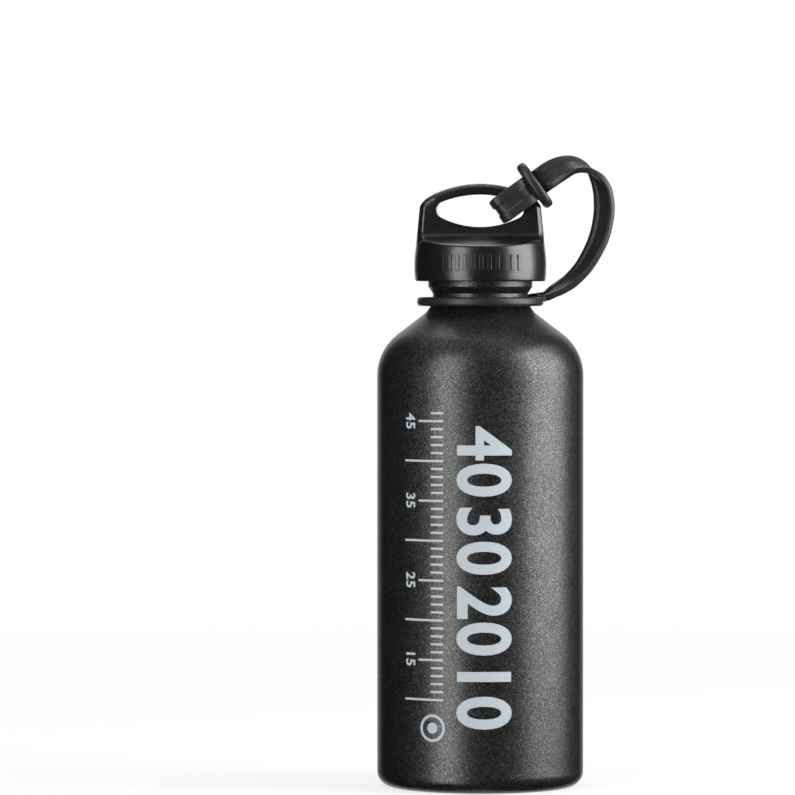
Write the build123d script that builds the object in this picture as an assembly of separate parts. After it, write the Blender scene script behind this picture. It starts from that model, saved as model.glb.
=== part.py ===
"""Camping fuel bottle with a tethered push-and-turn cap.

Millimetres, +Z up, origin at the middle of the base, X along the cap's carry loop.
"""
from build123d import *
from math import cos, pi, radians, sin, sqrt, tan
import os

# Bottle, outside
body_r = 35.5
base_corner_r = 5.3
foot_inner_r = 27.0
base_dome_rise = 4.0
shoulder_r = 18.0
shoulder_slope_deg = 52.5
flare_r = 8.0
rim_z = 178.0
neck_r = 16.6
lip_h = 2.5
bead_h = 5.9
bead_out = 1.35
bead_edge = 1.2
bead_foot_h = 2.4
waist_h = 0.78
waist_in = 0.25

# Bottle, inside
side_wall = 1.2
base_wall = 2.2
lip_wall = 0.9
seal_seat_w = 1.5
seal_seat_depth = 1.9
bore_l = 13.0

# Screw thread between neck and stopper
thread_pitch = 3.0
thread_depth = 1.1
thread_root_w = 1.9
thread_crest_w = 1.1
thread_drop = 10.6
thread_turns = 2.45
thread_crest_clear = 0.28
thread_flank_clear = 0.25
thread_bite = 0.25
relief_clear = 0.15
plug_thread_turns = 1.75
plug_thread_start_turns = 0.5
turns_to_open = 3.75

# Stopper
plug_clear = 0.55
open_clear = 0.45
plug_foot_chamfer = 1.0
plug_wall = 2.4
plug_roof = 2.6
seal_land_out = 0.95
seal_land_clear = 0.3
flange_out = 2.8
flange_h = 2.8
flange_gap = 0.3
flange_edge_r = 0.5
vent_w = 2.6
drive_teeth = 8
drive_tooth_in = 0.75
drive_tooth_l = 4.0
drive_tooth_w = 2.2
drive_tooth_h = 1.0
drive_tooth_gap = 0.3

# Seal ring
seal_section_r = 1.0

# Outer cap, its skirt measured from the flange inside it and its carry loop from the skirt's top
skirt_cover = 4.2
skirt_side_gap = 1.1
skirt_wall = 2.2
skirt_belly_h = 6.7
skirt_foot_in = 0.35
skirt_top_in = 0.4
skirt_top_rise = 0.7
roof_gap = 3.0
ledge_front_in = 0.2
ledge_front_h = 1.3
ledge_rise = 2.3
crown_in = 1.5
crown_h = 11.8
arch_side_in = 2.3
arch_side_rise = 2.3
arch_rise = 4.9
cove_r = 3.3
plate_base_half_t = 4.0
plate_top_half_t = 2.6
plate_edge = 1.3
seam_turn_deg = 60
eye_corner_in = 0.3
eye_mid_drop = 3.8
eye_top_rise = 4.9
eye_foot_drop = 6.2
eye_end_r = 3.0
push_travel = 1.0
grip_ribs = 11
grip_rib_pitch_deg = 7.0
grip_rib_h = 5.0
grip_rib_w = 0.9
grip_rib_out = 0.35
grip_rib_in = 0.8
grip_rib_drop = 0.3

# Push spring, a waved ring of wire
spring_wire_r = 0.3
spring_in = 2.2
spring_waves = 4
spring_bend_r = 1.2
spring_gap = 0.08

# Retaining ring inside the skirt
retainer_lap = 1.0
retainer_h = 1.5
retainer_gap = 0.3

# Ring round the neck, with the tab that carries the strap
collar_clear = 0.7
collar_wall = 4.65
collar_drop = 1.2
collar_t = 3.1
collar_edge_r = 1.0
collar_foot_chamfer = 1.2
tab_reach = 0.8
tab_y = 4.0
tab_rise = 1.8
tab_l = 4.0
tab_slope_deg = 12.0

# Strap
strap_w = 9.1
strap_t = 2.2
strap_sections = 36

# Doubled end of the strap round the carry loop, measured from the keeper
loop_in = 1.0
loop_rise = 3.4
loop_tilt_deg = 36.0
loop_w = 9.7
loop_reach = 14.9
loop_t = 1.8
loop_tail = 6.0
loop_split_half_gap = 0.25
loop_keeper_half_gap = 2.35
loop_exit = 0.2
loop_flare_reach = 3.6
loop_half_gap = 4.25
loop_fold_r = 2.6
loop_corner = 3.2

# Keeper round the doubled strap
keeper_l = 18.0
keeper_half_d = 5.95
keeper_t = 3.4
keeper_shift = 1.5
keeper_clear = 0.2
keeper_slot_r = 0.4
keeper_edge_r = 0.9

# One overrun serves all cuts
over = 1.0

# The strap's route from the tab to the keeper: x, y and z of its middle line from the tab's end,
# then the turn of its outer face in degrees, 0 facing the front and 90 facing outwards
strap_route = [
    (3.0, 0.4, 1.7, 108),
    (6.5, 0.8, 3.75, 113),
    (9.4, 1.1, 5.95, 116),
    (13.3, 1.2, 10.25, 120),
    (16.7, 1.1, 16.05, 125),
    (18.9, 0.9, 21.45, 129),
    (20.1, 0.5, 27.35, 131),
    (20.3, 0.0, 31.75, 131),
    (19.6, -0.8, 36.75, 124),
    (17.6, -1.6, 40.95, 108),
    (14.1, -2.4, 44.15, 80),
    (9.5, -3.1, 45.25, 55),
    (5.1, -3.7, 43.95, 30),
]
tab_turn_deg = 98
keeper_turn_deg = 0

# Radii worked out from the neck's
bead_r = neck_r + bead_out
waist_r = neck_r - waist_in
seal_seat_r = neck_r - lip_wall
thread_major_r = seal_seat_r - seal_seat_w
bore_r = thread_major_r - thread_depth
plug_r = bore_r - plug_clear
seal_land_r = plug_r + seal_land_out
seal_r = (seal_land_r + seal_seat_r) / 2
drive_tooth_r = plug_r - drive_tooth_in
flange_r = neck_r + flange_out
spring_r = flange_r - spring_in
retainer_inner_r = flange_r - retainer_lap
skirt_inner_r = flange_r + skirt_side_gap
skirt_belly_r = skirt_inner_r + skirt_wall
skirt_foot_r = skirt_belly_r - skirt_foot_in
skirt_top_r = skirt_belly_r - skirt_top_in
ledge_front_r = skirt_top_r - ledge_front_in
crown_r = skirt_top_r - crown_in
arch_side_x = crown_r - arch_side_in
eye_half_w = arch_side_x - eye_corner_in
loop_x = arch_side_x - loop_in
collar_inner_r = waist_r + collar_clear
collar_r = collar_inner_r + collar_wall
tab_end_x = collar_r + tab_reach

# Heights worked out from the rim's
bead_top_z = rim_z - lip_h
bead_z = bead_top_z - bead_h
collar_top_z = bead_z - collar_drop
collar_foot_z = collar_top_z - collar_t
tab_end_z = collar_foot_z + collar_t / 2 + tab_rise
bore_foot_z = rim_z - bore_l
thread_z = rim_z - thread_drop
seal_seat_z = rim_z - seal_seat_depth
plug_foot_z = rim_z + open_clear - turns_to_open * thread_pitch
flange_foot_z = rim_z + flange_gap
flange_top_z = flange_foot_z + flange_h
seal_z = (seal_seat_z + flange_foot_z) / 2
skirt_foot_z = rim_z - skirt_cover
skirt_belly_z = skirt_foot_z + skirt_belly_h
grip_rib_z = skirt_belly_z - grip_rib_drop
roof_z = flange_top_z + roof_gap
skirt_top_z = roof_z + skirt_top_rise
ledge_front_z = skirt_top_z + ledge_front_h
ledge_back_z = ledge_front_z + ledge_rise
crown_z = ledge_back_z + crown_h
arch_side_z = crown_z + arch_side_rise
arch_top_z = arch_side_z + arch_rise
eye_mid_z = arch_side_z - eye_mid_drop
eye_top_z = eye_mid_z + eye_top_rise
eye_foot_z = eye_mid_z - eye_foot_drop
loop_z = arch_side_z + loop_rise

# The shoulder: its cone comes down from the flare under the neck to the round that meets the side
slope = radians(shoulder_slope_deg)
flare_end_z = bead_z - waist_h
flare_start_r = waist_r + flare_r * (1 - cos(slope))
flare_start_z = flare_end_z - flare_r * sin(slope)
cone_end_r = body_r - shoulder_r * (1 - cos(slope))
cone_end_z = flare_start_z - (cone_end_r - flare_start_r) / tan(slope)
shoulder_centre = (body_r - shoulder_r, cone_end_z - shoulder_r * sin(slope))

# The doubled end's own frame: X into the carry loop, Y across the cap
loop_tilt = radians(loop_tilt_deg)
loop_frame = Plane(
    origin=(loop_x, 0, loop_z),
    x_dir=(-cos(loop_tilt), 0, -sin(loop_tilt)),
    z_dir=(sin(loop_tilt), 0, -cos(loop_tilt)),
)


def on_xz(*lines):
    """The face that a closed chain of lines in the XZ plane bounds."""
    return make_face([Plane.XZ * line for line in lines])


def turned(*lines):
    """The solid of revolution about Z of a closed chain of lines in the XZ plane."""
    return revolve(on_xz(*lines), axis=Axis.Z)


def ring(inner_r, outer_r, foot_z, top_z):
    """A plain ring about Z."""
    points = [(inner_r, foot_z), (outer_r, foot_z), (outer_r, top_z), (inner_r, top_z)]
    return turned(Polyline(*points, close=True))


def at_angle(centre, radius, angle):
    """The point at an angle from the X axis on a circle in the XZ plane."""
    return (centre[0] + radius * cos(angle), centre[1] + radius * sin(angle))


def side_band(foot_r, inset):
    """Side, shoulder and cone, inset from the outside, down to a radius on the cone."""
    radius = shoulder_r - inset
    start = at_angle(shoulder_centre, radius, 0)
    middle = at_angle(shoulder_centre, radius, slope / 2)
    end = at_angle(shoulder_centre, radius, slope)
    cone_foot = (foot_r, end[1] + (end[0] - foot_r) / tan(slope))
    return start, middle, end, cone_foot


def base_dome(z):
    """The arc of the pushed-in base, raised by z, from its foot to the axis."""
    radius = (foot_inner_r**2 + base_dome_rise**2) / (2 * base_dome_rise)
    half_r = foot_inner_r / 2
    half_z = z + sqrt(radius**2 - half_r**2) - (radius - base_dome_rise)
    return ThreePointArc((foot_inner_r, z), (half_r, half_z), (0, z + base_dome_rise))


def thread_ridge(root_r, crest_r, root_w, crest_w, turns, z):
    """A screw ridge of trapezoid section that starts at z on the +X side."""
    helix = Helix(thread_pitch, thread_pitch * turns, root_r, center=(0, 0, z))
    outline = Plane(origin=(root_r, 0, z), x_dir=(1, 0, 0), z_dir=(0, -1, 0)) * make_face(
        Polyline(
            (0, -root_w / 2),
            (crest_r - root_r, -crest_w / 2),
            (crest_r - root_r, crest_w / 2),
            (0, root_w / 2),
            close=True,
        )
    )
    return sweep(outline, path=helix, is_frenet=True)


def groove_width(radius):
    """The width of the neck's thread groove at a radius."""
    root_r = bore_r - thread_bite
    fall = (thread_root_w - thread_crest_w) / (thread_major_r - root_r)
    return thread_root_w - fall * (radius - root_r)


def bottle_outside():
    start, middle, end, flare_start = side_band(flare_start_r, 0)
    flare_centre = (waist_r + flare_r, flare_end_z)
    flare_middle = at_angle(flare_centre, flare_r, pi + slope / 2)
    flare_end = (waist_r, flare_centre[1])
    corner_centre = (body_r - base_corner_r, base_corner_r)
    corner_middle = at_angle(corner_centre, base_corner_r, -pi / 4)
    return turned(
        Polyline(
            (0, base_dome_rise),
            (0, rim_z),
            (neck_r, rim_z),
            (neck_r, bead_top_z),
            (bead_r, bead_top_z - bead_edge),
            (bead_r, bead_z + bead_foot_h),
            (waist_r, bead_z),
            flare_end,
        ),
        ThreePointArc(flare_end, flare_middle, flare_start),
        Line(flare_start, end),
        ThreePointArc(end, middle, start),
        Line(start, (body_r, base_corner_r)),
        ThreePointArc((body_r, base_corner_r), corner_middle, (corner_centre[0], 0)),
        Line((corner_centre[0], 0), (foot_inner_r, 0)),
        base_dome(0),
    )


def bottle_inside():
    """The space inside the bottle, open at the mouth."""
    start, middle, end, throat = side_band(bore_r + side_wall, side_wall)
    inner_r = body_r - side_wall
    inner_corner_r = base_corner_r - side_wall
    corner_centre = (inner_r - inner_corner_r, base_wall + inner_corner_r)
    corner_middle = at_angle(corner_centre, inner_corner_r, -pi / 4)
    dome_top_z = base_dome_rise + base_wall
    mouth_z = rim_z + over
    return turned(
        Polyline(
            (0, dome_top_z),
            (0, mouth_z),
            (seal_seat_r, mouth_z),
            (seal_seat_r, seal_seat_z),
            (bore_r, seal_seat_z),
            (bore_r, bore_foot_z),
            throat,
            end,
        ),
        ThreePointArc(end, middle, start),
        Line(start, (inner_r, corner_centre[1])),
        ThreePointArc((inner_r, corner_centre[1]), corner_middle, (corner_centre[0], base_wall)),
        Line((corner_centre[0], base_wall), (foot_inner_r, base_wall)),
        base_dome(base_wall),
    )


def bottle_shell():
    """The seamless bottle, with its shoulder, beaded neck and inner screw thread."""
    groove = thread_ridge(
        bore_r - thread_bite, thread_major_r, thread_root_w, thread_crest_w, thread_turns, thread_z
    )
    relief_foot_z = thread_z + thread_turns * thread_pitch - thread_root_w / 2
    relief = ring(0, thread_major_r + relief_clear, relief_foot_z, rim_z)
    return bottle_outside() - bottle_inside() - groove - relief


def inner_stopper():
    """The screw plug with its flange, drive teeth and pressure vent."""
    plug = turned(
        Polyline(
            (0, plug_foot_z),
            (plug_r - plug_foot_chamfer, plug_foot_z),
            (plug_r, plug_foot_z + plug_foot_chamfer),
            (plug_r, seal_seat_z + seal_land_clear),
            (seal_land_r, seal_seat_z + seal_land_clear),
            (seal_land_r, flange_foot_z),
            (flange_r, flange_foot_z),
            (flange_r, flange_top_z),
            (0, flange_top_z),
            close=True,
        )
    )
    plug = fillet(plug.edges().filter_by(GeomType.CIRCLE).sort_by(SortBy.RADIUS)[-2:], flange_edge_r)
    root_r = plug_r - thread_bite
    crest_r = thread_major_r - thread_crest_clear
    ridge = thread_ridge(
        root_r,
        crest_r,
        groove_width(root_r) - 2 * thread_flank_clear,
        groove_width(crest_r) - 2 * thread_flank_clear,
        plug_thread_turns,
        thread_z + thread_pitch * plug_thread_start_turns,
    )
    plug += Rot(0, 0, 360 * plug_thread_start_turns) * ridge
    well_top_z = flange_top_z - plug_roof
    plug -= ring(0, plug_r - plug_wall, plug_foot_z - over, well_top_z)
    vent_depth = thread_major_r - plug_r + thread_bite
    vent_top_z = seal_seat_z
    vent = Pos(0, -(plug_r - thread_bite + vent_depth / 2), (plug_foot_z - over + vent_top_z) / 2)
    plug -= vent * Box(vent_w, vent_depth, vent_top_z - plug_foot_z + over)
    tooth = Pos(drive_tooth_r, 0, flange_top_z + (drive_tooth_h - thread_bite) / 2)
    for angle in range(0, 360, 360 // drive_teeth):
        plug += Rot(0, 0, angle) * tooth * Box(drive_tooth_l, drive_tooth_w, drive_tooth_h + thread_bite)
    return plug


def seal_ring():
    """The round-section seal between the neck's seat and the flange."""
    return Pos(0, 0, seal_z) * Torus(seal_r, seal_section_r)


def push_spring():
    """The waved wire ring that holds the cap's teeth off the stopper's teeth."""
    foot_z = flange_top_z + spring_gap + spring_wire_r
    top_z = roof_z - spring_gap - spring_wire_r
    points = []
    for step in range(4 * spring_waves):
        angle = pi / 2 / spring_waves * step
        level = top_z if step % 4 in (1, 2) else foot_z
        points.append((spring_r * cos(angle), spring_r * sin(angle), level))
    path = FilletPolyline(*points, radius=spring_bend_r, close=True)
    start = path @ 0
    section = Plane(origin=start, z_dir=path % 0) * Circle(spring_wire_r)
    return sweep(section, path=path)


def retaining_ring():
    """The snap ring inside the skirt that holds the flange."""
    top_z = flange_foot_z - retainer_gap
    return ring(retainer_inner_r, skirt_inner_r, top_z - retainer_h, top_z)


def cap_envelope():
    """The cap's outside: a waisted round body cut to the arch of the carry loop."""
    belly_arc = ThreePointArc(
        (skirt_foot_r, skirt_foot_z), (skirt_belly_r, skirt_belly_z), (skirt_top_r, skirt_top_z)
    )
    top_z = arch_top_z + over
    taper = (skirt_top_r - crown_r) / (crown_z - skirt_top_z)
    round_body = turned(
        belly_arc,
        Polyline(
            (skirt_top_r, skirt_top_z),
            (crown_r - taper * (top_z - crown_z), top_z),
            (0, top_z),
            (0, skirt_foot_z),
            (skirt_foot_r, skirt_foot_z),
        ),
    )
    side_slope = (arch_side_z - crown_z) / (crown_r - arch_side_x)
    wide_x = skirt_belly_r + over
    wide_z = crown_z - (wide_x - crown_r) * side_slope
    front = on_xz(
        ThreePointArc((-arch_side_x, arch_side_z), (0, arch_top_z), (arch_side_x, arch_side_z)),
        Polyline(
            (arch_side_x, arch_side_z),
            (wide_x, wide_z),
            (wide_x, skirt_foot_z - over),
            (-wide_x, skirt_foot_z - over),
            (-wide_x, wide_z),
            (-arch_side_x, arch_side_z),
        ),
    )
    # The seam is turned to where it meets no chamfered edge
    return Rot(0, 0, seam_turn_deg) * round_body & extrude(front, amount=wide_x, both=True)


def plate_half_t(z):
    """Half the thickness of the carry loop's plate at a height."""
    share = (z - ledge_back_z) / (arch_top_z - ledge_back_z)
    return plate_base_half_t + (plate_top_half_t - plate_base_half_t) * share


def ledge_cutter():
    """What is cut away in front of the plate, above the sloping ledge and its cove."""
    wide = skirt_belly_r + over
    cove_foot = (plate_base_half_t + cove_r, ledge_back_z)
    cove_top = (plate_half_t(ledge_back_z + cove_r), ledge_back_z + cove_r)
    cove_middle = (
        cove_foot[0] - cove_r * sin(pi / 4),
        ledge_back_z + cove_r * (1 - cos(pi / 4)),
    )
    ledge_slope = (ledge_back_z - ledge_front_z) / (ledge_front_r - cove_foot[0])
    outer_z = ledge_front_z - (wide - ledge_front_r) * ledge_slope
    top_z = arch_top_z + over
    lines = [
        Line((wide, outer_z), cove_foot),
        ThreePointArc(cove_foot, cove_middle, cove_top),
        Polyline(cove_top, (plate_half_t(top_z), top_z), (wide, top_z), (wide, outer_z)),
    ]
    face = make_face([Plane.YZ * line for line in lines])
    return extrude(face, amount=wide, both=True)


def outer_cap():
    """The turned cap shell with its skirt, ledges and carry loop in one piece."""
    cap = cap_envelope()
    cutter = ledge_cutter()
    cap = cap - cutter - mirror(cutter, about=Plane.XZ)
    plate_edges = cap.edges().filter_by(
        lambda edge: edge.center().Z > ledge_back_z + cove_r and abs(edge.center().Y) > plate_edge
    )
    cap = chamfer(plate_edges, plate_edge)
    ends = (eye_half_w, eye_mid_z)
    eye = on_xz(
        ThreePointArc((-ends[0], ends[1]), (0, eye_top_z), ends),
        ThreePointArc(ends, (0, eye_foot_z), (-ends[0], ends[1])),
    )
    eye_hole = extrude(eye, amount=skirt_belly_r, both=True)
    eye_hole = fillet(eye_hole.edges().filter_by(Axis.Y), eye_end_r)
    cap -= eye_hole
    cap -= ring(0, skirt_inner_r, skirt_foot_z - over, roof_z)
    tooth_foot_z = flange_top_z + push_travel + drive_tooth_gap
    tooth_h = roof_z + thread_bite - tooth_foot_z
    tooth = Pos(drive_tooth_r, 0, tooth_foot_z + tooth_h / 2)
    pitch = 360 // drive_teeth
    for angle in range(0, 360, pitch):
        cap += Rot(0, 0, angle + pitch / 2) * tooth * Box(drive_tooth_l, drive_tooth_w, tooth_h)
    rib_r = skirt_belly_r + grip_rib_out
    rib = Pos(0, -(rib_r - grip_rib_in / 2), grip_rib_z) * Box(grip_rib_w, grip_rib_in, grip_rib_h)
    for index in range(grip_ribs):
        cap += Rot(0, 0, grip_rib_pitch_deg * (index - (grip_ribs - 1) / 2)) * rib
    return cap


def neck_ring():
    """The soft ring that turns freely round the neck's waist, with the strap's tab."""
    collar = turned(
        Polyline(
            (collar_inner_r + collar_foot_chamfer, collar_foot_z),
            (collar_r, collar_foot_z),
            (collar_r, collar_top_z),
            (collar_inner_r, collar_top_z),
            (collar_inner_r, collar_foot_z + collar_foot_chamfer),
            close=True,
        )
    )
    outer_edges = collar.edges().filter_by(GeomType.CIRCLE).sort_by(SortBy.RADIUS)[-2:]
    collar = fillet(outer_edges, collar_edge_r)
    tab = extrude(strap_frames()[0] * Rectangle(strap_w, strap_t), amount=-tab_l)
    return collar + tab


def strap_frames():
    """Frames along the strap: X across its width, Z along its route."""
    tail = loop_frame.from_local_coords(Vector(-loop_tail, 0, 0))
    stops = [(tab_end_x, tab_y, tab_end_z, tab_turn_deg)]
    stops += [(tab_end_x + x, tab_y + y, tab_end_z + z, turn) for x, y, z, turn in strap_route]
    stops += [(tail.X, tail.Y, tail.Z, keeper_turn_deg)]
    points = [Vector(*stop[:3]) for stop in stops]
    tab_slope = radians(tab_slope_deg)
    path = Spline(points, tangents=[(cos(tab_slope), 0, sin(tab_slope)), loop_frame.x_dir])
    shares = [0]
    for near, far in zip(points, points[1:]):
        shares.append(shares[-1] + (far - near).length)
    shares = [share / shares[-1] for share in shares]
    frames = []
    for index in range(strap_sections + 1):
        share = index / strap_sections
        along = path % share
        leg = min(sum(1 for value in shares[1:] if value <= share), len(stops) - 2)
        part = (share - shares[leg]) / (shares[leg + 1] - shares[leg])
        turn = radians(stops[leg][3] + (stops[leg + 1][3] - stops[leg][3]) * part)
        outward = Vector(along.Z, 0, -along.X).normalized()
        facing = Vector(0, -1, 0) * cos(turn) + outward * sin(turn)
        frames.append(Plane(origin=path @ share, x_dir=along.cross(facing).normalized(), z_dir=along))
    return frames


def strap():
    """The free strap between the neck ring and the keeper, with its half twist."""
    sections = [frame * Rectangle(strap_w, strap_t) for frame in strap_frames()]
    return loft(sections, ruled=True)


def mirrored_outline(points):
    """A closed outline from the points of its upper half."""
    return points + [(u, -v) for u, v in reversed(points)]


def strap_loop():
    """The strap's doubled end, folded through the eye of the carry loop."""
    outer_half = loop_half_gap + loop_t
    keeper_half = loop_keeper_half_gap + loop_t
    inner_reach = loop_reach - loop_t
    keeper_back = loop_exit - keeper_t
    outside = [
        (-loop_tail, strap_t / 2),
        (keeper_back, keeper_half),
        (loop_exit, keeper_half),
        (loop_flare_reach - loop_t, outer_half - loop_t * sin(loop_tilt) / 2),
        (loop_flare_reach, outer_half),
        (loop_reach - loop_fold_r, outer_half),
        (loop_reach, outer_half - loop_fold_r),
    ]
    inside = [
        (keeper_back, loop_split_half_gap),
        (loop_exit - loop_t / 2, loop_keeper_half_gap),
        (loop_exit, loop_keeper_half_gap),
        (loop_flare_reach - loop_t, loop_half_gap - loop_t * sin(loop_tilt) / 2),
        (loop_flare_reach, loop_half_gap),
        (inner_reach - loop_t / 2, loop_half_gap),
        (inner_reach, loop_half_gap - loop_t / 2),
    ]
    outer_face = make_face(Polyline(*mirrored_outline(outside), close=True))
    inner_face = make_face(Polyline(*mirrored_outline(inside), close=True))
    band = extrude(loop_frame * (outer_face - inner_face), amount=loop_w / 2, both=True)
    trim_outline = make_face(
        Polyline(
            (-loop_tail, -loop_w / 2),
            (loop_reach - loop_corner, -loop_w / 2),
            (loop_reach, -loop_w / 2 + loop_corner),
            (loop_reach, loop_w / 2 - loop_corner),
            (loop_reach - loop_corner, loop_w / 2),
            (-loop_tail, loop_w / 2),
            close=True,
        )
    )
    face_frame = Plane(origin=loop_frame.origin, x_dir=loop_frame.x_dir, z_dir=(0, -1, 0))
    return band & extrude(face_frame * trim_outline, amount=outer_half, both=True)


def strap_keeper():
    """The oval collar that holds the two layers together above the carry loop."""
    frame = Plane(origin=loop_frame.origin, x_dir=(0, 1, 0), z_dir=loop_frame.x_dir)
    frame = frame.offset(-keeper_shift - keeper_t / 2)
    slot_w = 2 * (loop_keeper_half_gap + loop_t + keeper_clear)
    slot_l = loop_w + 2 * keeper_clear
    outline = SlotOverall(keeper_l, 2 * keeper_half_d, rotation=90)
    body = extrude(frame * outline, amount=keeper_t)
    rims = body.edges().filter_by(lambda e: e.geom_type != GeomType.LINE or e.length > keeper_t + over)
    body = fillet(rims, keeper_edge_r)
    return body - extrude(frame * RectangleRounded(slot_w, slot_l, keeper_slot_r), amount=keeper_t)


pieces = {
    "bottle_shell": bottle_shell(),
    "inner_stopper": inner_stopper(),
    "seal_ring": seal_ring(),
    "push_spring": push_spring(),
    "retaining_ring": retaining_ring(),
    "outer_cap": outer_cap(),
    "neck_ring": neck_ring(),
    "strap": strap(),
    "strap_loop": strap_loop(),
    "strap_keeper": strap_keeper(),
}
os.makedirs("parts", exist_ok=True)
for name, piece in pieces.items():
    export_step(piece, f"parts/{name}.step")
    print(name, "solids", len(piece.solids()), "volume", round(piece.volume, 1))
inside_volume = (bottle_inside() - inner_stopper()).volume
print("space inside in millilitres", round(inside_volume / 1000, 1))
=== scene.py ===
"""Looks of the camping fuel bottle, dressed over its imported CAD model."""
from math import atan, atan2, cos, pi, radians, sin

import bmesh
import bpy
from mathutils import Matrix, Vector
from mathutils.geometry import interpolate_bezier


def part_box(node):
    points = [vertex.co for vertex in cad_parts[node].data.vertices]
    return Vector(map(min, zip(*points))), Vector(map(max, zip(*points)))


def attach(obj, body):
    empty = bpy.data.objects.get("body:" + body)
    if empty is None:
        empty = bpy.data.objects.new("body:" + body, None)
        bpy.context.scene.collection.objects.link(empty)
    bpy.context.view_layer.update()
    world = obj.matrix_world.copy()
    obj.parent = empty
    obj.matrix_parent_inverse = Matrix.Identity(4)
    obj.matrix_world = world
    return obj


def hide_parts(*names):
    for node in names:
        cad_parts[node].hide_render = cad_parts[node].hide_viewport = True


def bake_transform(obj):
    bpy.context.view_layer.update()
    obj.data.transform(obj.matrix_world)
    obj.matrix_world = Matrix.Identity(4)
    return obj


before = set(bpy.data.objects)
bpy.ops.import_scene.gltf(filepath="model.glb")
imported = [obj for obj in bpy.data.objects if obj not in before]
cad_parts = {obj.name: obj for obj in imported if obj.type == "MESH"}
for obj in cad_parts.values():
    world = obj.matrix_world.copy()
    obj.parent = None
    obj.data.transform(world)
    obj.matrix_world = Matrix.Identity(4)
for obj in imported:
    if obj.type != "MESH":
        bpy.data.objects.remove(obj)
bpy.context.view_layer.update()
mm = 0.001

# Bottle: one seamless aluminium vessel, drawn, necked in and beaded, under a dark metallic powder
# coat whose fine grain sparkles. The CAD node has the right shape, so it only gets its coat here.
coat_dark = (0.022, 0.022, 0.022, 1)
coat_light = (0.098, 0.098, 0.096, 1)
coat_flake = (0.20, 0.20, 0.197, 1)
coat_metal = 0.88
coat_roughness = 0.34
coat_roughness_swing = 0.16
coat_grain_size = 0.38 * mm
coat_grain_depth = 0.030 * mm
coat_grain_contrast = 2.4
coat_mottle_size = 9 * mm
coat_mottle_share = 0.4
coat_light_share = 0.2
coat_flake_size = 0.24 * mm
coat_flake_luck = 0.84
coat_flake_share = 0.7
coat_flake_rise = 0.3
noise_middle = 0.5


class Signal:
    """The value on a shader socket. Python's operators carry it through Math nodes."""

    def __init__(self, shading, socket):
        self.shading = shading
        self.socket = socket

    def maths(self, operation, first, second):
        return self.shading.node("ShaderNodeMath", {"operation": operation}, {0: first, 1: second})

    def __add__(self, other):
        return self.maths("ADD", self, other)

    def __radd__(self, other):
        return self.maths("ADD", other, self)

    def __sub__(self, other):
        return self.maths("SUBTRACT", self, other)

    def __rsub__(self, other):
        return self.maths("SUBTRACT", other, self)

    def __mul__(self, other):
        return self.maths("MULTIPLY", self, other)

    def __rmul__(self, other):
        return self.maths("MULTIPLY", other, self)

    def __gt__(self, other):
        return self.maths("GREATER_THAN", self, other)


class Shading:
    """A node tree, built node by node."""

    def __init__(self, tree):
        self.tree = tree

    def feed(self, socket, value):
        if isinstance(value, Signal):
            self.tree.links.new(value.socket, socket)
        else:
            socket.default_value = value

    def node(self, kind, settings, sockets, output=0):
        made = self.tree.nodes.new(kind)
        for name, value in settings.items():
            setattr(made, name, value)
        for name, value in sockets.items():
            self.feed(made.inputs[name], value)
        return Signal(self, made.outputs[output]) if made.outputs else made

    def place(self):
        """Where a point is on the piece, in metres."""
        return self.node("ShaderNodeTexCoord", {}, {}, "Object")

    def cell_place(self, size, stretch=(1, 1, 1)):
        """Where a point is, counted in cells of one size, drawn out along an axis by stretch."""
        spread = tuple(1 / (size * part) for part in stretch)
        return self.node("ShaderNodeMapping", {}, {"Vector": self.place(), "Scale": spread})

    def noise(self, size, detail=2.0, stretch=(1, 1, 1)):
        """Cloudy values from 0 to 1 with features of one size."""
        spot = self.cell_place(size, stretch)
        return self.node("ShaderNodeTexNoise", {}, {"Vector": spot, "Scale": 1.0, "Detail": detail})

    def mix(self, share, first, second):
        """A colour between two, by share. The colour sockets are numbers 6 and 7 in, 2 out."""
        return self.node("ShaderNodeMix", {"data_type": "RGBA"}, {0: share, 6: first, 7: second}, 2)


class Finish(Shading):
    """A material with one principled shader."""

    def __init__(self, name, **plain):
        self.material = bpy.data.materials.new(name)
        self.material.use_nodes = True
        super().__init__(self.material.node_tree)
        self.shader = self.tree.nodes["Principled BSDF"]
        self.drives(**plain)

    def drives(self, **values):
        """Feeds the shader's own sockets."""
        for socket, value in values.items():
            self.feed(self.shader.inputs[socket.replace("_", " ")], value)

    def bump(self, height, depth):
        self.drives(Normal=self.node(
            "ShaderNodeBump", {}, {"Strength": 1.0, "Distance": depth, "Height": height}))


def powder_coat():
    coat = Finish("coated_aluminium_grained", Metallic=coat_metal)
    grain = coat.noise(coat_grain_size, detail=3.0)
    mottle = coat.noise(coat_mottle_size)
    flake_place = coat.cell_place(coat_flake_size)
    flake_colour = coat.node("ShaderNodeTexVoronoi", {}, {"Vector": flake_place, "Scale": 1.0}, "Color")
    flakes = coat.node("ShaderNodeSeparateColor", {}, {"Color": flake_colour}) > coat_flake_luck
    lightness = (grain - noise_middle) * coat_grain_contrast + mottle * coat_mottle_share + coat_light_share
    cloud = coat.mix(lightness, coat_dark, coat_light)
    coat.drives(
        Base_Color=coat.mix(flakes * coat_flake_share, cloud, coat_flake),
        Roughness=coat_roughness + (grain - noise_middle) * coat_roughness_swing,
    )
    coat.bump(grain + flakes * coat_flake_rise, coat_grain_depth)
    return coat.material


def refinish(node, material):
    """A CAD node keeps its mesh and gets a better material."""
    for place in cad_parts[node].material_slots:
        place.material = material


refinish("bottle_shell", powder_coat())

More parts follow.
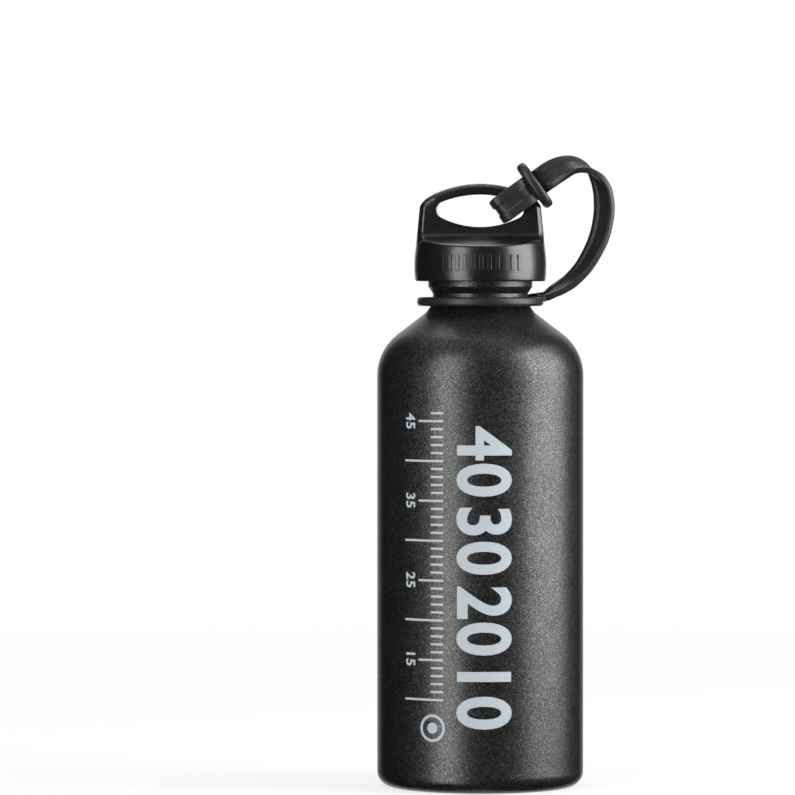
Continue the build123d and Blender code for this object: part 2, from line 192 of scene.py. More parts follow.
# Print on the front: a plain fill scale in centilitres, screen printed in pale blue-grey ink on the
# coat and baked. Big numbers read downwards beside a ladder of ticks, which has small numbers on its
# other side and a ringed dot under its foot.
ink_colour = (0.385, 0.436, 0.468, 1)
ink_worn = (0.315, 0.360, 0.392, 1)
ink_wear_size = 1.6 * mm
ink_wear_share = 0.5
ink_roughness = 0.46
ink_roughness_swing = 0.12
ink_grain_depth = 0.3 * coat_grain_depth
ink_rise = 0.02 * mm
ink_step = 1.0 * mm
body_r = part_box("bottle_shell")[1].x
scale_foot_z = 5.0 * mm
scale_per_cl = 2.7 * mm
tick_from = -13.4 * mm
tick_w = 0.75 * mm
tick_lengths = {10: 15.5 * mm, 5: 9.5 * mm, 1: 4.6 * mm}
tick_levels = range(10, 47)
number_at = 0.8 * mm
number_across = 19.0 * mm
number_spread = 0.90
number_levels = (10, 20, 30, 40)
number_weight = 0.026
number_spacing = 1.08
number_least_edge = 0.004
number_curve_steps = 6
small_number_at = -26.4 * mm
small_number_across = 4.2 * mm
small_number_levels = (15, 25, 35, 45)
small_number_spread = 0.95
dot_at = (-17.4 * mm, 22.4 * mm)
dot_r = 1.9 * mm
dot_sides = 32
ring_r = (3.75 * mm, 4.7 * mm)
ring_sides = 64
weld_distance = 0.001 * mm


def piece(name, bm, material, smooth=True):
    """A finished piece from a bmesh, with its faces pointing outwards."""
    bmesh.ops.remove_doubles(bm, verts=bm.verts, dist=weld_distance)
    bmesh.ops.recalc_face_normals(bm, faces=bm.faces)
    mesh = bpy.data.meshes.new(name)
    bm.to_mesh(mesh)
    bm.free()
    mesh.polygons.foreach_set("use_smooth", [smooth] * len(mesh.polygons))
    mesh.materials.append(material)
    made = bpy.data.objects.new(name, mesh)
    bpy.context.scene.collection.objects.link(made)
    return made


def edges_of(verts):
    """The edges that meet at some vertices, each of them once."""
    return list(dict.fromkeys(edge for v in verts for edge in v.link_edges))


def level_of(cl):
    """How high a fill of so many centilitres stands."""
    return scale_foot_z + cl * scale_per_cl


def print_ticks(bm):
    """Marks from tick_from leftwards. The roundest step that divides a level sets its mark's length.
    Each is a square of side 1, made from half its side and then stretched."""
    for cl in tick_levels:
        length = tick_lengths[max(step for step in tick_lengths if cl % step == 0)]
        place = Matrix.Translation((tick_from - length / 2, level_of(cl), 0))
        bmesh.ops.create_grid(bm, x_segments=1, y_segments=1, size=0.5,
                              matrix=place @ Matrix.Diagonal((length, tick_w, 1, 1)))


def print_number(bm, words, across, spread, at, level):
    """Flat numbers in (round the bottle, up) places: they read downwards, their tops to the right.
    Their size across is given, and spread is how wide the digits are beside the font's own. In the
    font's units, points that all but touch are merged and the outline is moved outwards by a weight."""
    curve = bpy.data.curves.new("print_number", "FONT")
    curve.body = words
    curve.resolution_u = number_curve_steps
    curve.space_character = number_spacing
    letters = bpy.data.objects.new("print_number", curve)
    bpy.context.scene.collection.objects.link(letters)
    bpy.context.view_layer.update()
    flat = bpy.data.meshes.new_from_object(letters.evaluated_get(bpy.context.evaluated_depsgraph_get()))
    bpy.data.objects.remove(letters)
    digits = bmesh.new()
    digits.from_mesh(flat)
    bmesh.ops.remove_doubles(digits, verts=digits.verts, dist=number_least_edge)
    rim = bmesh.ops.inset_region(digits, faces=digits.faces, use_boundary=True, use_even_offset=True,
                                 thickness=-number_weight)["faces"]
    bmesh.ops.delete(digits, geom=rim, context="FACES")
    digits.to_mesh(flat)
    digits.free()
    low = Vector(min(v.co[axis] for v in flat.vertices) for axis in (0, 1, 2))
    high = Vector(max(v.co[axis] for v in flat.vertices) for axis in (0, 1, 2))
    size = high - low
    to_middle = Matrix.Translation(-(low + high) / 2)
    to_size = Matrix.Diagonal((across / size.y * spread, across / size.y, 1, 1))
    to_place = Matrix.Translation((at, level, 0)) @ Matrix.Rotation(-pi / 2, 4, "Z")
    flat.transform(to_place @ to_size @ to_middle)
    bm.from_mesh(flat)


def print_dot(bm):
    place = Matrix.Translation((*dot_at, 0))
    bmesh.ops.create_circle(bm, cap_ends=True, segments=dot_sides, radius=dot_r, matrix=place)
    rims = []
    for radius in ring_r:
        rim = bmesh.ops.create_circle(bm, segments=ring_sides, radius=radius, matrix=place)["verts"]
        rims += edges_of(rim)
    bmesh.ops.bridge_loops(bm, edges=rims)


def wrap_round(bm):
    """Cuts a flat print into upright strips and bends it round the front of the body."""
    bmesh.ops.triangulate(bm, faces=bm.faces)
    low = min(v.co.x for v in bm.verts)
    high = max(v.co.x for v in bm.verts)
    for step in range(1, int((high - low) / ink_step) + 1):
        geometry = bm.verts[:] + bm.edges[:] + bm.faces[:]
        cut = (low + step * ink_step, 0, 0)
        bmesh.ops.bisect_plane(bm, geom=geometry, plane_co=cut, plane_no=(1, 0, 0))
    ink_r = body_r + ink_rise
    for v in bm.verts:
        turn = v.co.x / body_r
        v.co = (ink_r * sin(turn), -ink_r * cos(turn), v.co.y)


def print_scale():
    bm = bmesh.new()
    print_ticks(bm)
    for cl in number_levels:
        print_number(bm, str(cl), number_across, number_spread, number_at, level_of(cl))
    for cl in small_number_levels:
        print_number(bm, str(cl), small_number_across, small_number_spread, small_number_at, level_of(cl))
    print_dot(bm)
    wrap_round(bm)
    return bm


def print_ink():
    ink = Finish("print_ink", Metallic=0.0)
    wear = ink.noise(ink_wear_size, detail=3.0)
    grain = ink.noise(coat_grain_size)
    ink.drives(Base_Color=ink.mix(wear * ink_wear_share, ink_colour, ink_worn),
               Roughness=ink_roughness + grain * ink_roughness_swing)
    ink.bump(grain, ink_grain_depth)
    return ink.material


scale_print = piece("volume_scale_print", print_scale(), print_ink(), smooth=False)
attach(scale_print, "bottle")

# Stopper, with its retaining ring: a screw plug moulded in dark engineering plastic, its thread in
# the neck and its drive teeth under the cap's. The CAD nodes keep their shapes.
moulding_dark = (0.026, 0.026, 0.028, 1)
moulding_light = (0.040, 0.040, 0.043, 1)
moulding_roughness = 0.42
moulding_texture_size = 0.35 * mm
moulding_texture_depth = 0.008 * mm
moulding_texture_swing = 0.12
moulding_flow_size = 6 * mm
moulding_flow_swing = 0.06
moulding_ior = 1.66


def moulded_plastic(name, dark, light, roughness, texture_size, texture_depth):
    """Injection moulded plastic: an even colour with flow clouds and a fine eroded texture."""
    plastic = Finish(name, Metallic=0.0, IOR=moulding_ior)
    flow = plastic.noise(moulding_flow_size)
    texture = plastic.noise(texture_size, detail=3.0)
    eroded = roughness + (texture - noise_middle) * moulding_texture_swing
    plastic.drives(Base_Color=plastic.mix(flow, dark, light),
                   Roughness=eroded + (flow - noise_middle) * moulding_flow_swing)
    plastic.bump(texture, texture_depth)
    return plastic.material


stopper_plastic = moulded_plastic("stopper_moulding", moulding_dark, moulding_light, moulding_roughness,
                                  moulding_texture_size, moulding_texture_depth)
refinish("inner_stopper", stopper_plastic)
refinish("retaining_ring", stopper_plastic)

# Push spring: one turn of drawn stainless wire, bent in waves, between the stopper and the cap.
spring_low, spring_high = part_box("push_spring")
spring_wire_r = 0.3 * mm
spring_wire_sides = 12
spring_r = spring_high.x - spring_wire_r
spring_z = (spring_high.z + spring_low.z) / 2
spring_swing = (spring_high.z - spring_low.z) / 2 - spring_wire_r
spring_waves = 4
spring_crest_turn = radians(33.75)
spring_dark = (0.42, 0.42, 0.43, 1)
spring_light = (0.62, 0.62, 0.62, 1)
spring_roughness = 0.26
spring_roughness_swing = 0.16
spring_streak_size = 0.09 * mm
spring_streak_stretch = (9, 9, 1)
spring_streak_depth = 0.003 * mm
ring_steps = 144


def drawn_wire():
    wire = Finish("spring_wire", Metallic=1.0)
    streak = wire.noise(spring_streak_size, stretch=spring_streak_stretch)
    wire.drives(Base_Color=wire.mix(streak, spring_dark, spring_light),
                Roughness=spring_roughness + streak * spring_roughness_swing)
    wire.bump(streak, spring_streak_depth)
    return wire.material


def spin_round(bm, geometry):
    """Carries a section once round the bottle's axis."""
    bmesh.ops.spin(bm, geom=geometry, cent=(0, 0, 0), axis=(0, 0, 1), angle=2 * pi, steps=ring_steps,
                   use_merge=True)


def round_ring(section_r, ring_r, z, sides):
    """A ring with a round section about the bottle's axis."""
    bm = bmesh.new()
    place = Matrix.Translation((ring_r, 0, z)) @ Matrix.Rotation(pi / 2, 4, "X")
    section = bmesh.ops.create_circle(bm, segments=sides, radius=section_r, matrix=place)["verts"]
    spin_round(bm, section + edges_of(section))
    return bm


def waved_spring():
    bm = round_ring(spring_wire_r, spring_r, spring_z, spring_wire_sides)
    for v in bm.verts:
        turn = atan2(v.co.y, v.co.x) - spring_crest_turn
        v.co.z += spring_swing * cos(spring_waves * turn)
    return bm


spring_piece = piece("spring_waved_wire", waved_spring(), drawn_wire())
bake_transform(spring_piece)
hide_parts("push_spring")

# Seal ring: a round-section ring of moulded rubber, pushed over the stopper and pressed between its
# flange and the seat in the neck's mouth. It turns and rises with the stopper.
seal_low, seal_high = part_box("seal_ring")
seal_section_r = (seal_high.z - seal_low.z) / 2
seal_sides = 24
seal_r = seal_high.x - seal_section_r
seal_z = (seal_high.z + seal_low.z) / 2
seal_dark = (0.016, 0.016, 0.016, 1)
seal_light = (0.026, 0.026, 0.026, 1)
rubber_roughness = 0.42
rubber_ior = 1.52
rubber_bloom_size = 5 * mm
rubber_bloom_share = 0.8
rubber_bloom_swing = 0.14
rubber_peel_size = 0.5 * mm
rubber_peel_share = 0.6
rubber_fine_size = 0.16 * mm
rubber_fine_share = 0.4
rubber_fine_swing = 0.08
rubber_depth = 0.014 * mm


def soft_rubber(name, dark, light, dust=0.0):
    """Moulded rubber: matt, with a bloom of paler dust and the fine orange peel of its mould."""
    rubber = Finish(name, Metallic=0.0, IOR=rubber_ior)
    bloom = rubber.noise(rubber_bloom_size, detail=3.0)
    peel = rubber.noise(rubber_peel_size, detail=3.0)
    fine = rubber.noise(rubber_fine_size, detail=1.0)
    matt = rubber_roughness + (bloom - noise_middle) * rubber_bloom_swing
    rubber.drives(Base_Color=rubber.mix(bloom * rubber_bloom_share + fine * dust, dark, light),
                  Roughness=matt + (fine - noise_middle) * rubber_fine_swing)
    rubber.bump(peel * rubber_peel_share + fine * rubber_fine_share, rubber_depth)
    return rubber.material


seal_rubber = soft_rubber("seal_rubber_moulded", seal_dark, seal_light)
seal_ring = round_ring(seal_section_r, seal_r, seal_z, seal_sides)
seal_piece = piece("seal_round_ring", seal_ring, seal_rubber)
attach(seal_piece, "stopper")
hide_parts("seal_ring")

# Outer cap: the waisted shell, its ledges and the arch of its carry loop are one moulding in satin
# black plastic with rounded edges everywhere. Its CAD solid is taken over, its edges are rounded, and
# clean bars take the place of its grip ribs.
cap_voxel = 0.325 * mm
cap_smooth_passes = 9
cap_soft_passes = 45
smooth_factor = 0.5
arch_corner_x = 16.0 * mm
arch_corner_z = (199.5 * mm, 207.0 * mm)
ledge_rim_r = 20.4 * mm
ledge_rim_z = (184.6 * mm, 188.4 * mm)
grip_ribs = 11
grip_rib_pitch = radians(7)
grip_rib_size = Vector((1.4, 1.2, 5.5)) * mm
grip_rib_edge_r = 0.2 * mm
grip_rib_edge_steps = 3
grip_rib_r = 23.04 * mm
grip_rib_z = 180.2 * mm
grip_zone_y = -15.0 * mm
grip_zone_half_h = 4.2 * mm
grip_zone_r = 21.2 * mm
grip_melt_passes = 160
cap_dark = (0.0045, 0.0045, 0.0047, 1)
cap_light = (0.0075, 0.0075, 0.0078, 1)
cap_roughness = 0.29
cap_texture_size = 0.30 * mm
cap_texture_depth = 0.006 * mm


def settled(made):
    """A piece's mesh with its modifiers worked in."""
    bpy.context.view_layer.update()
    mesh = bpy.data.meshes.new_from_object(made.evaluated_get(bpy.context.evaluated_depsgraph_get()))
    mesh.name = made.name
    made.modifiers.clear()
    made.data = mesh
    return made


def even_shading(made):
    """Flat faces shade flat and their small rounded edges carry the turn."""
    made.modifiers.new("even_shading", "WEIGHTED_NORMAL").keep_sharp = False
    return settled(made)


def melt(bm, verts, passes):
    """Draws vertices towards their neighbours, pass by pass."""
    for step in range(passes):
        bmesh.ops.smooth_vert(bm, verts=verts, factor=smooth_factor,
                              use_axis_x=True, use_axis_y=True, use_axis_z=True)


def soften_corners(bm):
    """Rounds the arch's two shoulders and the ledges' front rims more than the other edges."""
    shoulders = [v for v in bm.verts if abs(v.co.x) > arch_corner_x
                 and arch_corner_z[0] < v.co.z < arch_corner_z[1]]
    rims = [v for v in bm.verts if v.co.xy.length > ledge_rim_r and ledge_rim_z[0] < v.co.z < ledge_rim_z[1]]
    melt(bm, shoulders + rims, cap_soft_passes)


def renew_grip_ribs(bm):
    """Melts the solid's grip ribs away and lays a clean bar in the place of each."""
    ribs = [v for v in bm.verts if v.co.y < grip_zone_y and abs(v.co.z - grip_rib_z) < grip_zone_half_h
            and v.co.xy.length > grip_zone_r]
    melt(bm, ribs, grip_melt_passes)
    for index in range(grip_ribs):
        turn = Matrix.Rotation(grip_rib_pitch * (index - (grip_ribs - 1) / 2), 4, "Z")
        place = Matrix.Translation((0, grip_rib_size.y / 2 - grip_rib_r, grip_rib_z))
        size = Matrix.Diagonal((*grip_rib_size, 1))
        bar = bmesh.ops.create_cube(bm, size=1, matrix=turn @ place @ size)["verts"]
        bmesh.ops.bevel(bm, geom=edges_of(bar), offset=grip_rib_edge_r, offset_type="OFFSET",
                        segments=grip_rib_edge_steps, profile=0.5, affect="EDGES", material=-1)


def rounded_cap():
    bm = bmesh.new()
    bm.from_mesh(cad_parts["outer_cap"].data)
    satin = moulded_plastic("cap_satin", cap_dark, cap_light, cap_roughness, cap_texture_size,
                            cap_texture_depth)
    shell = piece("cap_shell", bm, satin)
    rounding = shell.modifiers.new("rounding", "REMESH")
    rounding.mode = "VOXEL"
    rounding.voxel_size = cap_voxel
    rounding.use_smooth_shade = True
    easing = shell.modifiers.new("easing", "SMOOTH")
    easing.factor = smooth_factor
    easing.iterations = cap_smooth_passes
    settled(shell)
    shell.data.materials.clear()
    shell.data.materials.append(satin)
    bm = bmesh.new()
    bm.from_mesh(shell.data)
    soften_corners(bm)
    renew_grip_ribs(bm)
    bm.to_mesh(shell.data)
    bm.free()
    shell.data.polygons.foreach_set("use_smooth", [True] * len(shell.data.polygons))
    return even_shading(shell)


cap_shell = rounded_cap()
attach(cap_shell, "cap")
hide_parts("outer_cap")

# Strap: a flat rubber band with a raised rim along both edges, moulded on to the neck ring. It bows
# out and over with half a twist and ends in the doubled loop. Its route goes from the tab to the
# carry loop, as places in mm from the tab's end and turns in degrees.
strap_w = 9.1 * mm
strap_t = 2.2 * mm
strap_rim_w = 2.2 * mm
strap_recess = 0.55 * mm
strap_edge_r = 0.60 * mm
strap_step_r = 0.40 * mm
strap_dark = (0.010, 0.010, 0.0100, 1)
strap_light = (0.018, 0.018, 0.0175, 1)
strap_dust = 0.25
tab_end = Vector((22.5, 4.0, 168.65)) * mm
tab_rise = radians(12)
tab_along = Vector((cos(tab_rise), 0, sin(tab_rise)))
tab_turn = 98
keeper_turn = 0
strap_steps = 8
strap_route = [
    (3.0, 0.4, 1.7, 108),
    (6.5, 0.8, 3.75, 113),
    (9.4, 1.1, 5.95, 116),
    (13.3, 1.2, 10.25, 120),
    (16.7, 1.1, 16.05, 125),
    (18.9, 0.9, 21.45, 129),
    (20.1, 0.5, 27.35, 131),
    (20.3, 0.0, 31.75, 131),
    (19.6, -0.8, 36.75, 124),
    (17.6, -1.6, 40.95, 108),
    (14.1, -2.4, 44.15, 80),
    (9.5, -3.1, 45.25, 55),
    (5.1, -3.7, 43.95, 30),
]
loop_tilt = radians(36)
loop_origin = Vector((17.5, 0, 205.9)) * mm
loop_along = Vector((-cos(loop_tilt), 0, -sin(loop_tilt)))
loop_tail = 6.0 * mm
strap_into_keeper = 5.0 * mm
corner_pull = 0.45
corner_points = 4


def smooth_route(points, start_along, end_along, steps):
    """Points on a smooth line through the given ones, steps to each leg."""
    slopes = [start_along * (points[1] - points[0]).length]
    slopes += [(after - before) / 2 for before, after in zip(points, points[2:])]
    slopes += [end_along * (points[-1] - points[-2]).length]
    line = []
    for near, far, near_slope, far_slope in zip(points, points[1:], slopes, slopes[1:]):
        line += interpolate_bezier(near, near + near_slope / 3, far - far_slope / 3, far, steps + 1)[:-1]
    return line + [points[-1]]


def headings(line):
    """The way a line runs at each of its points, from the point before to the one after."""
    before = line[:1] + line[:-1]
    after = line[1:] + line[-1:]
    return [(far - near).normalized() for near, far in zip(before, after)]


def place_frame(origin, across, out):
    """The matrix that puts a section's x across and its y out, at a place."""
    along = across.cross(out)
    turn = Matrix((across, out, along)).transposed().to_4x4()
    return Matrix.Translation(origin) @ turn


def sweep(bm, section, frames):
    """Carries a closed section from frame to frame, edge by edge, and closes its ends."""
    verts = [bm.verts.new(frames[0] @ Vector((*spot[:2], 0))) for spot in section]
    edges = [bm.edges.new(pair) for pair in zip(verts, verts[1:] + verts[:1])]
    first = edges
    for near, far in zip(frames, frames[1:]):
        made = bmesh.ops.extrude_edge_only(bm, edges=edges)["geom"]
        verts = [part for part in made if isinstance(part, bmesh.types.BMVert)]
        fresh = set(verts)
        edges = [part for part in made if isinstance(part, bmesh.types.BMEdge) and set(part.verts) <= fresh]
        bmesh.ops.transform(bm, matrix=far @ near.inverted(), verts=verts)
    bmesh.ops.contextual_create(bm, geom=first)
    bmesh.ops.contextual_create(bm, geom=edges)


def rimmed_section(w, t, rim_w, recess, edge_r, step_r):
    """A band's closed outline: rims proud of a sunk middle, every corner rounded."""
    half_w = w / 2
    half_t = t / 2
    side = [
        ((-half_w, half_t), edge_r),
        ((-half_w + rim_w, half_t), step_r),
        ((-half_w + rim_w + recess / 2, half_t - recess), step_r),
        ((half_w - rim_w - recess / 2, half_t - recess), step_r),
        ((half_w - rim_w, half_t), step_r),
        ((half_w, half_t), edge_r),
    ]
    corners = [(Vector(at), radius) for at, radius in side + [((-x, -y), radius) for (x, y), radius in side]]
    outline = []
    for index, (at, radius) in enumerate(corners):
        before = (corners[index - 1][0] - at).normalized() * radius
        after = (corners[(index + 1) % len(corners)][0] - at).normalized() * radius
        outline += interpolate_bezier(at + before, at + before * corner_pull, at + after * corner_pull,
                                      at + after, corner_points)
    return outline


def strap_frames():
    """Frames along the strap, each turned about its heading: the broad side looks to the front at 0
    degrees and outwards at 90."""
    tail = loop_origin - loop_along * loop_tail
    stops = [(tab_end, tab_turn)]
    stops += [(tab_end + Vector((x, y, z)) * mm, turn) for x, y, z, turn in strap_route]
    stops += [(tail, keeper_turn)]
    points = [point for point, turn in stops]
    line = smooth_route(points, tab_along, loop_along, strap_steps)
    frames = []
    for index, (point, along) in enumerate(zip(line, headings(line))):
        leg = min(index // strap_steps, len(stops) - 2)
        share = index / strap_steps - leg
        turn = radians(stops[leg][1] + (stops[leg + 1][1] - stops[leg][1]) * share)
        outward = Vector((along.z, 0, -along.x)).normalized()
        facing = Vector((0, -1, 0)) * cos(turn) + outward * sin(turn)
        across = along.cross(facing).normalized()
        frames.append(place_frame(point, across, along.cross(across)))
    return frames + [Matrix.Translation(loop_along * strap_into_keeper) @ frames[-1]]


def strap_band():
    bm = bmesh.new()
    sweep(bm, strap_section, strap_frames())
    return bm


strap_rubber = soft_rubber("strap_rubber_moulded", strap_dark, strap_light, strap_dust)
strap_section = rimmed_section(strap_w, strap_t, strap_rim_w, strap_recess, strap_edge_r, strap_step_r)
strap_piece = even_shading(piece("strap_ribbed", strap_band(), strap_rubber))
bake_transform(strap_piece)
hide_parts("strap")

# Neck ring: a soft ring in the neck's waist, of one moulding with the strap, whose root it carries as
# a tilted tab. It turns freely on the neck, with rounded rims outside and a bevel under its bore.
collar_foot_z = 165.3 * mm
collar_top_z = 168.4 * mm
collar_r = 21.7 * mm
collar_inner_r = 17.05 * mm
collar_edge_r = 1.1 * mm
collar_edge_steps = 5
collar_foot_edge = 1.2 * mm
tab_l = 4.6 * mm
tab_root_back = 1.0 * mm
tab_root_turn = radians(25)


def collar():
    bm = bmesh.new()
    corners = [
        (collar_inner_r + collar_foot_edge, collar_foot_z),
        (collar_r, collar_foot_z),
        (collar_r, collar_top_z),
        (collar_inner_r, collar_top_z),
        (collar_inner_r, collar_foot_z + collar_foot_edge),
    ]
    verts = [bm.verts.new((x, 0, z)) for x, z in corners]
    bm.faces.new(verts)
    bmesh.ops.bevel(bm, geom=verts[1:4], offset=collar_edge_r, offset_type="OFFSET",
                    segments=collar_edge_steps, profile=0.5, affect="VERTICES", material=-1)
    bmesh.ops.delete(bm, geom=bm.faces[:], context="FACES_ONLY")
    spin_round(bm, bm.verts[:] + bm.edges[:])
    end = strap_frames()[0]
    root_move = Matrix.Translation(Vector((0, tab_root_back, 0)) - tab_along * tab_l)
    root_spin = Matrix.Rotation(tab_root_turn, 4, "Z")
    turn = Matrix.Translation(tab_end) @ root_spin @ Matrix.Translation(-tab_end)
    sweep(bm, strap_section, [root_move @ turn @ end, end])
    return bm


neck_collar = even_shading(piece("neck_collar", collar(), strap_rubber))
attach(neck_collar, "tether")
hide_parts("neck_ring")

# Doubled end: the strap's last stretch is folded through the carry loop's eye, one layer in front of
# the arch and one behind it. Its rims stand proud and its fold is stepped where the middle sinks in.
# The front layer's line is written in mm along the strap and out from the loop's middle plane.
loop_across = Vector((sin(loop_tilt), 0, -cos(loop_tilt)))
loop_out = Vector((0, 1, 0))
fold_w = 9.7 * mm
fold_t = 1.8 * mm
fold_rim_w = 3.1 * mm
fold_recess = 0.5 * mm
fold_edge_r = 0.5 * mm
fold_step_r = 0.3 * mm
fold_steps = 6
fold_line = [
    (-2.6, 2.4), (-0.8, 3.15), (0.8, 3.40), (2.6, 4.50), (4.6, 5.10), (7.6, 5.15), (11.0, 5.15),
    (12.9, 4.40), (13.8, 2.60), (14.0, 0.0),
]
fold_reach = 14.0 * mm
fold_corner_from = 12.0 * mm
fold_corner_share = 0.09


def doubled_end():
    half = [loop_origin + loop_along * along * mm - loop_out * out * mm for along, out in fold_line]
    back = [point - loop_out * 2 * (point - loop_origin).dot(loop_out) for point in half[-2::-1]]
    line = smooth_route(half + back, loop_along, -loop_along, fold_steps)
    frames = []
    for point, along in zip(line, headings(line)):
        reach = (point - loop_origin).dot(loop_along)
        corner = max(0, (reach - fold_corner_from) / (fold_reach - fold_corner_from))
        narrow = 1 - fold_corner_share * corner**2
        out = loop_across.cross(along)
        frames.append(place_frame(point, loop_across, -out) @ Matrix.Diagonal((narrow, 1, 1, 1)))
    bm = bmesh.new()
    sweep(bm, rimmed_section(fold_w, fold_t, fold_rim_w, fold_recess, fold_edge_r, fold_step_r), frames)
    return bm


fold_piece = even_shading(piece("strap_doubled_end", doubled_end(), strap_rubber))
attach(fold_piece, "stopper")
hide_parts("strap_loop")

# Keeper: an oval rubber collar, pushed over the doubled strap to hold its two layers together above
# the carry loop. Its rims are well rounded.
keeper_half_l = 9.0 * mm
keeper_half_d = 5.95 * mm
keeper_power = 2.2
keeper_t = 3.4 * mm
keeper_shift = 1.5 * mm
keeper_hole_half_l = 5.05 * mm
keeper_hole_half_d = 4.35 * mm
keeper_hole_power = 7
keeper_edge_r = 1.3 * mm
keeper_edge_steps = 5
keeper_sides = 96


def oval(bm, half_x, half_y, power, level):
    """A closed rim at a level along the loop, from a circle squared up by power: 2 is an ellipse,
    more is boxier."""
    verts = bmesh.ops.create_circle(bm, segments=keeper_sides, radius=1)["verts"]
    for v in verts:
        x, y = v.co.x, v.co.y
        v.co.x = half_x * abs(x) ** (2 / power) * (1 if x > 0 else -1)
        v.co.y = half_y * abs(y) ** (2 / power) * (1 if y > 0 else -1)
    middle = loop_origin - loop_along * keeper_shift
    place = place_frame(middle + loop_along * level, loop_across, loop_out)
    bmesh.ops.transform(bm, matrix=place, verts=verts)
    return edges_of(verts)


def keeper():
    levels = []
    for step in range(keeper_edge_steps + 1):
        turn = pi / 2 * step / keeper_edge_steps
        levels.append((keeper_t / 2 - keeper_edge_r * (1 - cos(turn)), keeper_edge_r * (1 - sin(turn))))
    levels += [(-level, inset) for level, inset in reversed(levels)]
    bm = bmesh.new()
    rims = [oval(bm, keeper_half_l - inset, keeper_half_d - inset, keeper_power, level)
            for level, inset in levels]
    rims += [oval(bm, keeper_hole_half_l, keeper_hole_half_d, keeper_hole_power, level)
             for level in (-keeper_t / 2, keeper_t / 2)]
    for near, far in zip(rims, rims[1:] + rims[:1]):
        bmesh.ops.bridge_loops(bm, edges=near + far)
    return bm


keeper_piece = piece("strap_keeper_oval", keeper(), strap_rubber)
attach(keeper_piece, "stopper")
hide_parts("strap_keeper")

# Studio: a pale floor, a long soft lamp on each side, a weak one overhead and one behind, as for a
# dark bottle. Black cloth hangs round the set where the bottle would mirror the room, and the camera
# doesn't see it. The bottle doesn't mirror the floor.
floor_r = 3.0
floor_sides = 96
floor_fade_r = 0.9
floor_glow_near = 0.74
floor_paint = (0.93, 0.93, 0.93, 1)
cloth_r = 1.35
cloth_top_z = 1.25
cloth_foot_z = -1.0
cloth_open = radians(24)
cloth_steps = 72
cloth_colour = (0.01, 0.01, 0.01, 1)
room_light = (0.32, 0.32, 0.32, 1)
room_seen = (1, 1, 1, 1)
view_middle = Vector((-28.5, 0, 133.8)) * mm
view_height = 273.8 * mm
camera_at = Vector((-28.5, -1809, 174)) * mm
camera_clip = (0.05, 20)


def stage_piece(name, bm, material):
    mesh = bpy.data.meshes.new(name)
    bm.to_mesh(mesh)
    bm.free()
    mesh.materials.append(material)
    made = bpy.data.objects.new(name, mesh)
    bpy.context.scene.collection.objects.link(made)
    return made


def seen_share(shading):
    """1 for what the camera, a mirror or glass looks at, 0 for what only lights."""
    rays = ("Is Camera Ray", "Is Glossy Ray", "Is Transmission Ray")
    camera, glossy, transmission = (shading.node("ShaderNodeLightPath", {}, {}, ray) for ray in rays)
    return camera + glossy + transmission


def pale_floor():
    """Matt near-white paint that glows for the camera: fully far away, less round the bottle, where
    the shadow has to show."""
    material = bpy.data.materials.new("pale_floor")
    material.use_nodes = True
    paint = Shading(material.node_tree)
    paint.tree.nodes.clear()
    far = paint.node("ShaderNodeVectorMath", {"operation": "LENGTH"}, {0: paint.place()}, "Value")
    fade = paint.node("ShaderNodeMath", {"operation": "MINIMUM"}, {0: far * (1 / floor_fade_r), 1: 1.0})
    share = seen_share(paint) * (floor_glow_near + fade * (1 - floor_glow_near))
    matt = paint.node("ShaderNodeBsdfDiffuse", {}, {"Color": floor_paint})
    glow = paint.node("ShaderNodeEmission", {}, {})
    mixed = paint.node("ShaderNodeMixShader", {}, {0: share, 1: matt, 2: glow})
    paint.node("ShaderNodeOutputMaterial", {}, {"Surface": mixed})
    return material


def black_cloth():
    return Finish("black_cloth", Base_Color=cloth_colour, Roughness=1.0, Specular_IOR_Level=0.0).material


def lamp(name, at, aim, size, radiance):
    """A soft rectangular lamp at a place, facing another."""
    light = bpy.data.lights.new(name, "AREA")
    light.shape = "RECTANGLE"
    light.size, light.size_y = size
    light.energy = radiance * pi * size[0] * size[1]
    made = bpy.data.objects.new(name, light)
    made.location = at
    made.rotation_euler = (Vector(aim) - Vector(at)).to_track_quat("-Z", "Y").to_euler()
    bpy.context.scene.collection.objects.link(made)


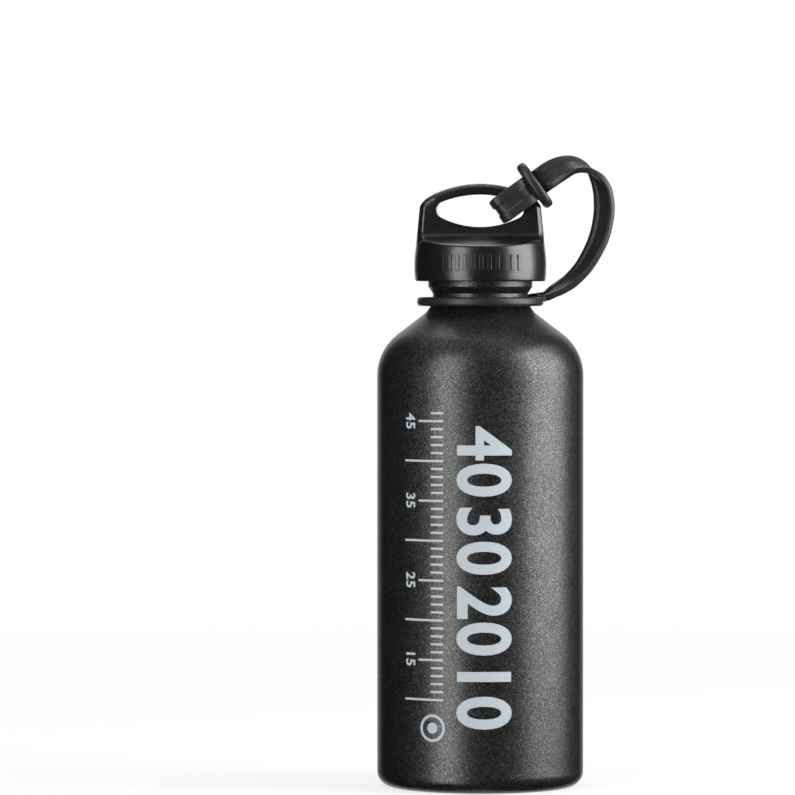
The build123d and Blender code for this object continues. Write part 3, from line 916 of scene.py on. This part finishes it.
floor_mesh = bmesh.new()
bmesh.ops.create_circle(floor_mesh, cap_ends=True, segments=floor_sides, radius=floor_r)
floor = stage_piece("floor", floor_mesh, pale_floor())
floor.visible_glossy = False

cloth_mesh = bmesh.new()
cloth_line = [(0, cloth_foot_z), (cloth_r, cloth_foot_z), (cloth_r, cloth_top_z), (0, cloth_top_z)]
cloth_verts = [cloth_mesh.verts.new((sin(cloth_open) * r, cos(cloth_open) * r, z)) for r, z in cloth_line]
cloth_edges = [cloth_mesh.edges.new(pair) for pair in zip(cloth_verts, cloth_verts[1:])]
bmesh.ops.spin(cloth_mesh, geom=cloth_verts + cloth_edges, cent=(0, 0, 0), axis=(0, 0, -1),
               angle=2 * pi - 2 * cloth_open, steps=cloth_steps)
cloth = stage_piece("black_cloth", cloth_mesh, black_cloth())
cloth.visible_camera = False
cloth.visible_diffuse = False
cloth.visible_shadow = False

lamp("right_lamp", at=(0.78, -0.17, 0.48), aim=(0, 0, 0.48), size=(0.74, 1.04), radiance=6.0)
lamp("left_lamp", at=(-0.49, -0.63, 0.20), aim=(0, 0, 0.20), size=(0.38, 1.50), radiance=4.6)
lamp("top_lamp", at=(-0.2, 0, 1.1), aim=(-0.2, 0, 0), size=(1.3, 0.9), radiance=0.45)
lamp("back_lamp", at=(-0.1, 0.38, 1.0), aim=(0, 0, 0.19), size=(0.5, 0.3), radiance=3.6)

world = bpy.data.worlds.new("studio")
bpy.context.scene.world = world
world.use_nodes = True
sky = Shading(world.node_tree)
background = sky.tree.nodes["Background"]
sky.feed(background.inputs["Color"], sky.mix(seen_share(sky), room_light, room_seen))

camera = bpy.data.cameras.new("camera")
viewer = bpy.data.objects.new("camera", camera)
bpy.context.scene.collection.objects.link(viewer)
sight = view_middle - camera_at
viewer.location = camera_at
viewer.rotation_euler = sight.to_track_quat("-Z", "Y").to_euler()
camera.angle = 2 * atan(view_height / 2 / sight.length)
camera.clip_start, camera.clip_end = camera_clip
bpy.context.scene.camera = viewer
bpy.context.scene.view_settings.view_transform = "Standard"
